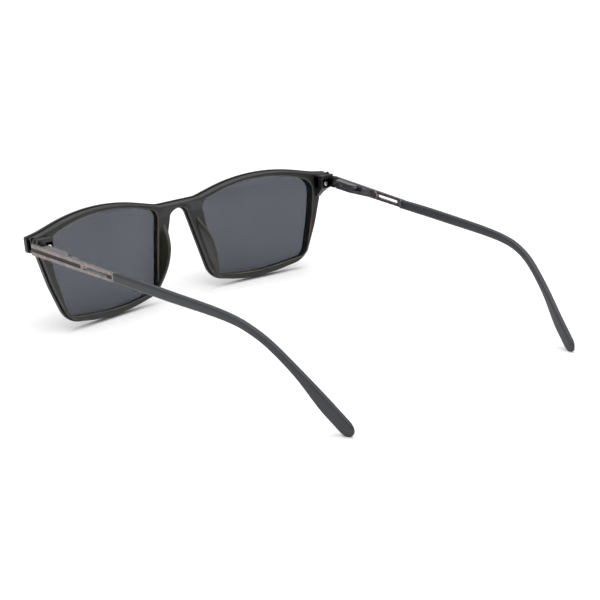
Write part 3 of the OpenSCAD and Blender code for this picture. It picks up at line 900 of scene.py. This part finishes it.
@dataclass
class NosePad:
    """A moulded pad: a wall that sweeps back from the rim beside the nose."""

    side: Side
    near_edge: NoseEdge = NoseEdge(4.1, 11.9, 0.308)
    far_edge: NoseEdge = NoseEdge(10.1, 12.9, 0.144)
    # How far inside those edges its root starts and ends, and how deep the root lies
    near_inset: float = 0.3
    far_inset: float = 0.9
    root_depth: float = 2.2
    thickness: float = 1.5
    # Extra half thickness at the top, and how fast it runs out along the pad
    flare: float = 0.9
    flare_fade: float = 3.5
    # How far its flanks swell, and at what share of their length
    swell: float = 0.12
    swell_at: float = 0.6
    # Crest of the pad from its top to its foot: [up, across, depth behind the face], in mm
    crest: tuple[tuple[float, float, float], ...] = (
        (9.4, 7.2, 3.0), (7.0, 7.8, 4.1), (4.6, 8.4, 5.7), (2, 9.1, 7.2), (-1.5, 10.0, 8.3),
        (-6, 11.3, 8.2), (-10, 12.6, 7.1), (-14.2, 14.4, 5.2), (-17.0, 15.4, 3.2),
    )
    stations: int = 26
    round_steps: int = 6

    def _spine(self, share: float) -> Vector:
        """A point of the crest, on a smooth curve through its points.

        Args:
            share: how far along the crest, from 0 to 1.

        Returns:
            Its up, across and depth, in mm.
        """
        last = len(self.crest) - 1
        position = share * last
        index = min(int(position), last - 1)
        t = position - index
        a, b, c, d = (Vector(self.crest[max(0, min(last, index + k))]) for k in (-1, 0, 1, 2))
        square = (2 * a - 5 * b + 4 * c - d) * t * t
        return 0.5 * (2 * b + (c - a) * t + square + (3 * b - a - 3 * c + d) * t**3)

    def _profile(self, tip: Vector, inside: Vector, outside: Vector, half: float) -> list[Vector]:
        """The level section of the pad.

        Args:
            tip: its crest, across and deep.
            inside: where it starts on the side of the nose.
            outside: where it ends on the side of the lens.
            half: half its thickness at the crest, in mm.

        Returns:
            Its points from one root to the other, across and deep.
        """
        lengthwise = (tip - inside.lerp(outside, 0.5)).normalized()
        sideways = Vector((-lengthwise.y, lengthwise.x))
        centre = tip - lengthwise * half
        turns = [math.pi * j / self.round_steps for j in range(self.round_steps + 1)]
        cap = [centre + half * (sideways * math.cos(a) + lengthwise * math.sin(a)) for a in turns]
        if (cap[0] - inside).length > (cap[-1] - inside).length:
            inside, outside = outside, inside
        swelling = sideways * self.swell
        return [
            inside,
            inside.lerp(cap[0], self.swell_at) + swelling,
            *cap,
            cap[-1].lerp(outside, 1 - self.swell_at) - swelling,
            outside,
        ]

    def rings(self) -> list[list[Vector]]:
        """Level rings round the pad.

        Returns:
            The rings from its top to its foot, in metres.
        """
        rings = []
        for k in range(self.stations):
            up, across, depth = self._spine(k / (self.stations - 1))
            inside = Vector((self.near_edge.at(up) + self.near_inset, self.root_depth))
            outside = Vector((self.far_edge.at(up) - self.far_inset, self.root_depth))
            half = self.thickness / 2 + self.flare * max(0.0, 1 - self.flare_fade * k / self.stations)
            profile = self._profile(Vector((across, depth)), inside, outside, half)
            rings.append([self._placed(spot, up) for spot in profile])
        return rings

    def _placed(self, spot: Vector, up: float) -> Vector:
        """A point of the pad on its own side of the nose."""
        point = LEAN.placed(spot.x, spot.y, up, LEAN.seat_radius)
        return Vector((point.x * self.side.value, point.y, point.z))

    def built(self, shift: Vector) -> bmesh.types.BMesh:
        """Builds the pad.

        Args:
            shift: where the front stands.

        Returns:
            The closed mesh, in metres.
        """
        shell = Shell()
        shell.loft(self.rings())
        mesh = shell.closed()
        bmesh.ops.translate(mesh, vec=shift, verts=mesh.verts[:])
        return mesh


@dataclass
class EndPiece:
    """The block behind the corner of the front that carries the hinge."""

    side: Side
    # Edges of the block, across and up, in mm
    inner: float = 62.8
    rim_edge: float = 65.1
    outer: float = 69.0
    top: float = 14.2
    bottom: float = 9.2
    # How far the root reaches below the block, and the depth of its slope at the foot and the heel
    root_drop: float = 3.4
    root_foot: float = 10.4
    root_heel: float = 14.2
    fillet: float = 3.4
    fillet_steps: int = 8
    # Depths between which the raw block is drawn out, before its cuts
    start_depth: float = 7.2
    raw_depth: float = 30.0
    edges: Softening = Softening(0.3, 3, 35.0)

    def _outline(self) -> list[Vector]:
        """The block and its root, with the fillet under the block.

        Returns:
            The points in order, across and up, in mm.
        """
        low = self.bottom - self.fillet
        foot = self.bottom - self.root_drop
        turns = [math.pi / 2 * (1 - k / self.fillet_steps) for k in range(self.fillet_steps + 1)]
        rounded = [
            Vector((self.rim_edge + self.fillet * (1 - math.cos(a)), low + self.fillet * math.sin(a)))
            for a in turns
        ]
        return [
            Vector((self.inner, self.top)), Vector((self.outer, self.top)),
            Vector((self.outer, self.bottom)), *rounded,
            Vector((self.rim_edge, foot)), Vector((self.inner, foot)),
        ]

    def _block(self, outline: Sequence[Vector], shift: Vector, rear: float) -> bmesh.types.BMesh:
        """A leaning block with an upright rear face and a sloped root.

        Args:
            outline: its corners, across and up.
            shift: where the front stands.
            rear: y of its rear face, in metres.

        Returns:
            The bevelled block, in metres.
        """
        shell = Shell()
        mesh = shell.mesh
        shell.loft([
            [LEAN.placed(corner.x, depth, corner.y, LEAN.flat_radius) + shift for corner in outline]
            for depth in (self.start_depth, self.raw_depth)
        ])
        low = self.bottom - self.root_drop
        foot = LEAN.placed(0, self.root_foot, low, LEAN.flat_radius) + shift
        heel = LEAN.placed(0, self.root_heel, self.bottom, LEAN.flat_radius) + shift
        slope = heel - foot
        cuts = [(Vector((0, rear, 0)), Vector((0, 1, 0))), (foot, Vector((0, slope.z, -slope.y)))]
        for spot, away in cuts:
            everything = mesh.verts[:] + mesh.edges[:] + mesh.faces[:]
            cut = bmesh.ops.bisect_plane(
                mesh, geom=everything, plane_co=spot, plane_no=away, clear_outer=True
            )
            opened = [g for g in cut["geom_cut"] if isinstance(g, bmesh.types.BMEdge)]
            bmesh.ops.contextual_create(mesh, geom=opened)
        shell.closed()
        self.edges.bevel(mesh, clamped=False)
        return mesh

    def built(self, shift: Vector, shoulder_rear: float) -> list[bmesh.types.BMesh]:
        """The block and the shoulder beside it.

        Args:
            shift: where the front stands.
            shoulder_rear: y of the shoulder's rear face, in metres.

        Returns:
            The meshes, in metres, on this side.
        """
        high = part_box("front_frame")[1]
        reach = high.x / MM
        shoulder = [
            Vector((self.inner, self.bottom)), Vector((self.inner, self.top)),
            Vector((reach, self.top)), Vector((reach, self.bottom)),
        ]
        meshes = [
            self._block(self._outline(), shift, high.y),
            self._block(shoulder, shift, shoulder_rear),
        ]
        if self.side is Side.RIGHT:
            for mesh in meshes:
                bmesh.ops.scale(mesh, vec=(-1, 1, 1), verts=mesh.verts[:])
                bmesh.ops.recalc_face_normals(mesh, faces=mesh.faces[:])
        return meshes


def poured_in(
    target: bmesh.types.BMesh, parts: Sequence[bmesh.types.BMesh], moulding: Moulding
) -> None:
    """Adds closed parts to a mesh, and frees them.

    Args:
        target: the mesh that they go into.
        parts: the parts.
        moulding: the finish of all their faces.
    """
    for part in parts:
        for face in part.faces:
            face.material_index = moulding
        data = bpy.data.meshes.new("part")
        part.to_mesh(data)
        part.free()
        target.from_mesh(data)
        bpy.data.meshes.remove(data)


@dataclass
class FrontFrame:
    """The frame: rims, bridge, nose pads and end pieces."""

    paints: Paints
    # How far the frame lies inside the clip's outline
    reveal: float = 0.5
    face_depth: float = 1.45
    rim_depth: float = 2.4
    # Depth of the rear part of the rims that the bridge's extra depth moves
    rear_band: float = 1.0
    shoulder_step: float = 1.8

    def _rim(self) -> bmesh.types.BMesh:
        """Builds the rims and the bridge.

        Returns:
            The closed mesh, in metres.
        """
        front, rear, seat = self.face_depth, self.face_depth + self.rim_depth, LEAN.seat_radius
        outer = [
            Station(0.15, front, seat),
            Station(0.04, front + 0.05, seat),
            Station(0.0, front + 0.18, seat),
            Station(0.0, rear - 0.9, seat),
            Station(0.02, rear - 0.6, seat, brow_inset=0.1),
            Station(0.12, rear - 0.3, seat, brow_inset=0.35),
            Station(0.28, rear - 0.1, seat, brow_inset=0.65),
            Station(0.45, rear, seat, brow_inset=1.0),
        ]
        inner = [
            Station(0.12, front, seat),
            Station(0.03, front + 0.04, seat),
            Station(0.0, front + 0.15, seat),
            Station(0.0, rear - 0.55, seat),
            # The rear lip of each opening gets painted light: the olive brown of light shining through
            # thin nylon
            Station(0.04, rear - 0.3, seat, moulding=Moulding.THIN),
            Station(0.14, rear - 0.1, seat, moulding=Moulding.THIN),
            Station(0.3, rear, seat, moulding=Moulding.THIN),
        ]
        outline = whole_outline(FRONT_HALF).grown(-self.reveal)
        eye = Outline(EYE)
        return FrameRim(outline, [eye, eye.mirrored()], outer, inner).built(rear - self.rear_band)

    def build(self) -> list[bpy.types.Object]:
        """Builds the frame.

        Returns:
            Its one piece.
        """
        mesh = self._rim()
        shift = set_in_place(mesh, "front_frame")
        shoulder_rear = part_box("front_frame")[1].y - self.shoulder_step * MM
        for side in Side:
            poured_in(mesh, [NosePad(side).built(shift)], Moulding.PAD)
            poured_in(mesh, EndPiece(side).built(shift, shoulder_rear), Moulding.SOLID)
        # The second finish is painted light shining through the thin rear lip of the openings
        finishes = [self.paints.frame, self.paints.thin_nylon, self.paints.pad]
        piece = made_piece("moulded_front", mesh, finishes)
        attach(piece, "front")
        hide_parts("front_frame")
        return [piece]


@dataclass
class SunClip:
    """The clip that lies on the front of the frame."""

    paints: Paints
    thickness: float = 1.3
    # How much wider than the frame's its eye openings are, all round
    wider: float = 0.25

    def build(self) -> list[bpy.types.Object]:
        """Builds the clip's rim.

        Returns:
            Its one piece.
        """
        face, seat, rear = LEAN.face_radius, LEAN.seat_radius, self.thickness
        outer = [
            Station(0.4, 0.0, face),
            Station(0.2, 0.06, face),
            Station(0.06, 0.2, face),
            Station(0.0, 0.42, face),
            Station(0.0, rear - 0.22, seat),
            Station(0.05, rear - 0.07, seat),
            Station(0.2, rear, seat),
        ]
        inner = [
            Station(0.35, 0.0, face),
            Station(0.16, 0.06, face),
            Station(0.04, 0.18, face),
            Station(0.0, 0.36, face),
            Station(0.0, rear - 0.15, seat),
            Station(0.04, rear - 0.05, seat),
            Station(0.15, rear, seat),
        ]
        eye = Outline(EYE).grown(self.wider)
        mesh = Rim(whole_outline(FRONT_HALF), [eye, eye.mirrored()], outer, inner).built()
        set_in_place(mesh, "clip_frame")
        piece = made_piece("sun_clip_rim", mesh, [self.paints.clip])
        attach(piece, "clip")
        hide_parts("clip_frame")
        return [piece]


# ---- pieces that keep their CAD shape --------------------------------------------------


def body_of(node: str) -> str:
    """The body that a CAD node belongs to."""
    bodies = frame["record"]["behaviour"]["bodies"]
    return next(body for body, members in bodies.items() if node in members)


def softened_piece(
    node: str, name: str, material: bpy.types.Material, softening: Softening | None, sharp: float = 35
) -> bpy.types.Object:
    """A CAD node with joined triangles and soft edges, in its place.

    Args:
        node: the CAD node's name.
        name: the new piece's name.
        material: its finish.
        softening: its bevel, or None.
        sharp: the angle in degrees above which an edge is shaded sharp.

    Returns:
        The new piece, which rides where the node does.
    """
    piece = made_piece(name, softened_copy(node, softening), [material], sharp)
    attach(piece, body_of(node))
    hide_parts(node)
    return piece


def softened_set(
    side: Side, rows: Sequence[tuple[str, str, bpy.types.Material, Softening]]
) -> list[bpy.types.Object]:
    """The softened pieces of one side.

    Args:
        side: the side, whose word ends every name.
        rows: the CAD node, the new name, the finish and the bevel of each piece.

    Returns:
        The new pieces, in the order of the rows.
    """
    return [
        softened_piece(f"{node}_{side.word}", f"{name}_{side.word}", finish, edge)
        for node, name, finish, edge in rows
    ]


def dressed(node: str, material: bpy.types.Material) -> bpy.types.Object:
    """Gives a CAD node its finish and leaves its shape.

    Args:
        node: the CAD node's name.
        material: its finish.

    Returns:
        The node's own object.
    """
    piece = frame["nodes"][node]
    piece.data.materials.clear()
    piece.data.materials.append(material)
    return piece


@dataclass
class Lenses:
    """The clear lenses of the frame and the grey ones of the clip."""

    paints: Paints

    def build(self) -> list[bpy.types.Object]:
        """Builds the lenses.

        Returns:
            The four pieces.
        """
        pieces = []
        for side in Side:
            clear, grey = f"lens_{side.word}", f"clip_lens_{side.word}"
            pieces.append(softened_piece(clear, f"clear_{clear}", self.paints.clear_lens, None))
            pieces.append(softened_piece(grey, f"grey_{grey}", self.paints.sun_lens, None))
        return pieces


@dataclass
class Hinge:
    """The hinge of one side, with its screws and the sprung slide in its housing."""

    paints: Paints
    side: Side
    screw_edge: Softening = Softening(0.05, 2, 40)
    metal_edge: Softening = Softening(0.1, 2, 35)

    def build(self) -> list[bpy.types.Object]:
        """Builds what shows with soft edges and dresses what is sealed inside.

        Returns:
            The hinge's pieces.
        """
        black, satin, nickel = self.paints.black_metal, self.paints.satin_metal, self.paints.nickel
        pieces = softened_set(self.side, [
            ("hinge_leaf", "eared_leaf", black, self.metal_edge),
            ("leaf_screw", "bright_screw", nickel, self.screw_edge),
            ("hinge_screw", "pivot_screw", black, self.screw_edge),
            ("housing_screw", "side_screw", satin, self.screw_edge),
            ("spring_housing", "tapered_housing", satin, self.metal_edge),
            ("hinge_slider", "sliding_eye", black, self.screw_edge),
        ])
        for node in ("spring_bush", "hinge_spring"):
            pieces.append(dressed(f"{node}_{self.side.word}", self.paints.steel))
        return pieces


@dataclass
class Temple:
    """One temple: the brushed bar with its inlay, the ferrule, and the arm on its core."""

    paints: Paints
    side: Side
    bar_edge: Softening = Softening(0.14, 2)
    inlay_edge: Softening = Softening(0.06, 1)
    ferrule_edge: Softening = Softening(0.12, 2)
    arm_sharp: float = 60.0

    def build(self) -> list[bpy.types.Object]:
        """Builds the temple.

        Returns:
            Its pieces, from the hinge to the ear.
        """
        word, paints = self.side.word, self.paints
        pieces = softened_set(self.side, [
            ("temple_bar", "brushed_bar", paints.gunmetal, self.bar_edge),
            ("bar_inlay", "groove_filler", paints.inlay, self.inlay_edge),
            ("arm_ferrule", "satin_ferrule", paints.satin_metal, self.ferrule_edge),
        ])
        arm = softened_piece(
            f"temple_arm_{word}", f"satin_arm_{word}", paints.arm, None, self.arm_sharp
        )
        return [*pieces, arm, dressed(f"arm_core_{word}", paints.steel)]


@dataclass
class Magnets:
    """The magnets that hold the clip on the frame."""

    paints: Paints

    def build(self) -> list[bpy.types.Object]:
        """Dresses both sets of magnets."""
        return [dressed(node, self.paints.nickel) for node in ("frame_magnets", "clip_magnets")]


# ---- the studio ------------------------------------------------------------------------


@dataclass(frozen=True)
class SoftBox:
    """A square light that looks at the middle of the object, in metres and watts."""

    name: str
    place: tuple[float, float, float]
    size: float
    power: float

    def hang(self) -> None:
        """Adds the light to the scene."""
        light = bpy.data.lights.new(self.name, "AREA")
        light.size = self.size
        light.energy = self.power
        holder = bpy.data.objects.new(self.name, light)
        place = Vector(self.place)
        turn = place.to_track_quat("Z", "Y").to_matrix().to_4x4()
        holder.matrix_world = Matrix.Translation(place) @ turn
        bpy.context.scene.collection.objects.link(holder)


@dataclass
class Studio:
    """A white floor that runs out of sight, a pale surround and two soft boxes."""

    floor_half: float = 6.0
    pulp_mm: float = 2.0
    # The surround's tone at the walls and at the ceiling, and the heights where they end and begin
    walls: str = "#8f9092"
    ceiling: str = "#ffffff"
    ceiling_band: tuple[float, float] = (0.05, 0.75)
    boxes: tuple[SoftBox, ...] = (
        SoftBox("overhead_box", (-0.1, 0.2, 1.0), 1.6, 9.0),
        SoftBox("side_box", (0.9, -0.3, 0.5), 0.7, 0.8),
    )
    # Where the camera stands, and which way its right side and its top point
    eye: Vector = field(default_factory=lambda: Vector((330.670, 357.706, 169.912)) * MM)
    right: Vector = field(default_factory=lambda: Vector((-0.73550612, 0.67738203, -0.01357673)))
    up: Vector = field(default_factory=lambda: Vector((-0.21677302, -0.21629358, 0.95195932)))
    focal_mm: float = 89.43
    sensor_mm: float = 36.0
    # The stretch in front of the camera that it sees, in metres
    nearest: float = 0.01
    furthest: float = 50.0

    def floor(self) -> None:
        """Adds the floor."""
        mesh = bmesh.new()
        bmesh.ops.create_grid(mesh, x_segments=2, y_segments=2, size=self.floor_half)
        # Matt white paper: a warm white without shine
        material, tree, output = blank_material("white_paper")
        place = add_node(tree, "ShaderNodeTexCoord").outputs["Object"]
        pulp = add_node(
            tree, "ShaderNodeTexNoise", {"Scale": 1 / (self.pulp_mm * MM)}, {"Vector": place}
        )
        shader = add_node(
            tree,
            "ShaderNodeBsdfPrincipled",
            {"Roughness": 0.9, "Specular IOR Level": 0.1},
            {"Base Color": two_colours(tree, pulp.outputs["Fac"], "#fbfaf9", "#ffffff", WIDE_BAND)},
        )
        tree.links.new(shader.outputs["BSDF"], output.inputs["Surface"])
        floor = made_piece("studio_floor", mesh, [material])

    def surround(self) -> None:
        """Sets the surround, which runs from the tone of the walls to that of the ceiling."""
        world = bpy.data.worlds.new("studio_surround")
        world.use_nodes = True
        tree = world.node_tree
        way = add_node(tree, "ShaderNodeTexCoord").outputs["Generated"]
        height = add_node(tree, "ShaderNodeSeparateXYZ", links={"Vector": way}).outputs["Z"]
        tone = two_colours(tree, height, self.walls, self.ceiling, self.ceiling_band)
        tree.links.new(tone, tree.nodes["Background"].inputs["Color"])
        bpy.context.scene.world = world

    def camera(self) -> None:
        """Adds the camera."""
        lens = bpy.data.cameras.new("camera")
        lens.lens = self.focal_mm
        lens.sensor_width = self.sensor_mm
        lens.clip_start = self.nearest
        lens.clip_end = self.furthest
        holder = bpy.data.objects.new("camera", lens)
        back = self.right.cross(self.up).normalized()
        turn = Matrix((self.right, self.up, back)).transposed().to_4x4()
        holder.matrix_world = Matrix.Translation(self.eye) @ turn
        bpy.context.scene.collection.objects.link(holder)
        bpy.context.scene.camera = holder

    def build(self) -> None:
        """Sets up the whole studio."""
        self.floor()
        self.surround()
        for box in self.boxes:
            box.hang()
        self.camera()
        bpy.context.scene.view_settings.view_transform = "Standard"


def main() -> None:
    """Builds the spectacles in their studio."""
    logging.basicConfig(level=logging.INFO, format="%(name)s: %(message)s")
    paints = Paints()
    assemblies = [FrontFrame(paints), SunClip(paints), Lenses(paints)]
    for side in Side:
        assemblies += [Hinge(paints, side), Temple(paints, side)]
    assemblies.append(Magnets(paints))
    for assembly in assemblies:
        for piece in assembly.build():
            log.info("%s: %s", type(assembly).__name__, piece.name)
    Studio().build()


if __name__ == "__main__":
    main()
